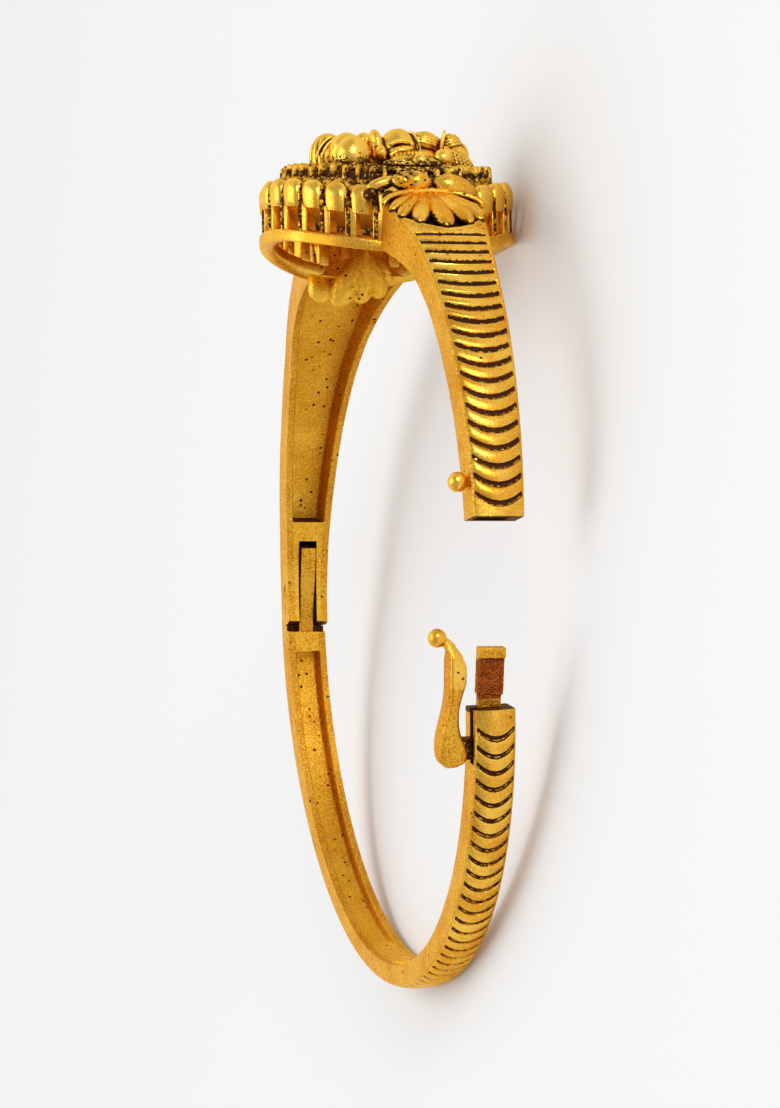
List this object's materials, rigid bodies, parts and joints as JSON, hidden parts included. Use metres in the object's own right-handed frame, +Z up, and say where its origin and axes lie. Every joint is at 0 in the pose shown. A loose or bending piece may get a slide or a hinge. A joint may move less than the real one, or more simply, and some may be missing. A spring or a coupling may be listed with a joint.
{
  "type": "hinged openable bangle",
  "caption": "Openable temple bangle: grooved band in two hinged halves, round pierced medallion with raised bird relief, box clasp and safety lever.",
  "frame": {"origin": "middle of the bounding box in plan, on the surface the bangle lies on", "axes": "the bangle lies on its side: Z up and nearly along the wrist opening's axis, +Y from the medallion side to the plain lower half, X across from the clasp side (-X) to the hinge side (+X)"},
  "size_m": [0.0664, 0.0698, 0.0216],
  "materials": {
    "gold": "satin cast, darkened in the grooves",
    "pale_gold": "polished on the high points, darkened between",
    "deep_gold": "satin, reddish"
  },
  "bodies": {
    "upper": {"upper_band": "gold", "medallion": "pale_gold", "relief": "gold", "catch_stud": "pale_gold", "hinge_pin": "pale_gold"},
    "lower": {"lower_band": "gold", "clasp_tongue": "deep_gold"},
    "lever": {"safety_lever": "gold", "lever_pin": "pale_gold"}
  },
  "joints": [
    {"name": "band_hinge", "type": "hinge", "parent": "upper", "child": "lower", "pos_m": [0.03077, 0.00753, 0.00716], "axis": [0.0286, -0.1236, -0.9919], "range_deg": [-13.15, 25]},
    {"name": "lever_hinge", "type": "hinge", "parent": "lower", "child": "lever", "pos_m": [-0.03174, 0.01058, 0.00833], "axis": [-0.9996, 0, -0.0288], "range_deg": [0, 95]}
  ]
}
